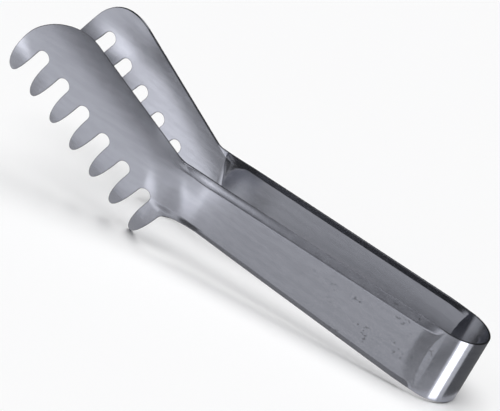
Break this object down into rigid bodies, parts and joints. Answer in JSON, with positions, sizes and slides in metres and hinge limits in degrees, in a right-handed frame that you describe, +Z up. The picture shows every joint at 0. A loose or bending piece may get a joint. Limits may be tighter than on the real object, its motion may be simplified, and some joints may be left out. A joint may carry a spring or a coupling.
{
  "type": "spaghetti tongs",
  "caption": "One-piece sprung steel tongs: a strip bent into a U, with channelled arms and two facing comb jaws with curved palms and rounded teeth, for lifting and serving long pasta.",
  "frame": {"origin": "on the table, under the middle of the part's box", "axes": "+X along the tongs towards the bow, +Y from the front half to the rear half, +Z up; the tongs stand on the last teeth and on the bow's lower edge"},
  "size_m": [0.202, 0.049, 0.0649],
  "materials": {
    "satin_steel": "satin-polished stainless sheet with fine handling scuffs"
  },
  "bodies": {
    "bow": {"spring_bow": "satin_steel"},
    "front_half": {"front_arm": "satin_steel", "front_jaw": "satin_steel"},
    "rear_half": {"rear_arm": "satin_steel", "rear_jaw": "satin_steel"}
  },
  "joints": [
    {"name": "front_flex", "type": "hinge", "parent": "bow", "child": "front_half", "pos_m": [0.09572, -0.00848, 0.01379], "axis": [-0.1031, 0, -0.9947], "range_deg": [-3, 4.5], "stiffness_Nm_per_rad": 4},
    {"name": "rear_flex", "type": "hinge", "parent": "bow", "child": "rear_half", "pos_m": [0.09572, 0.00848, 0.01379], "axis": [0.1031, 0, 0.9947], "range_deg": [-3, 4.5], "stiffness_Nm_per_rad": 4}
  ],
  "couplings": [
    {"joint": "rear_flex", "follows": "front_flex", "ratio": 1}
  ]
}
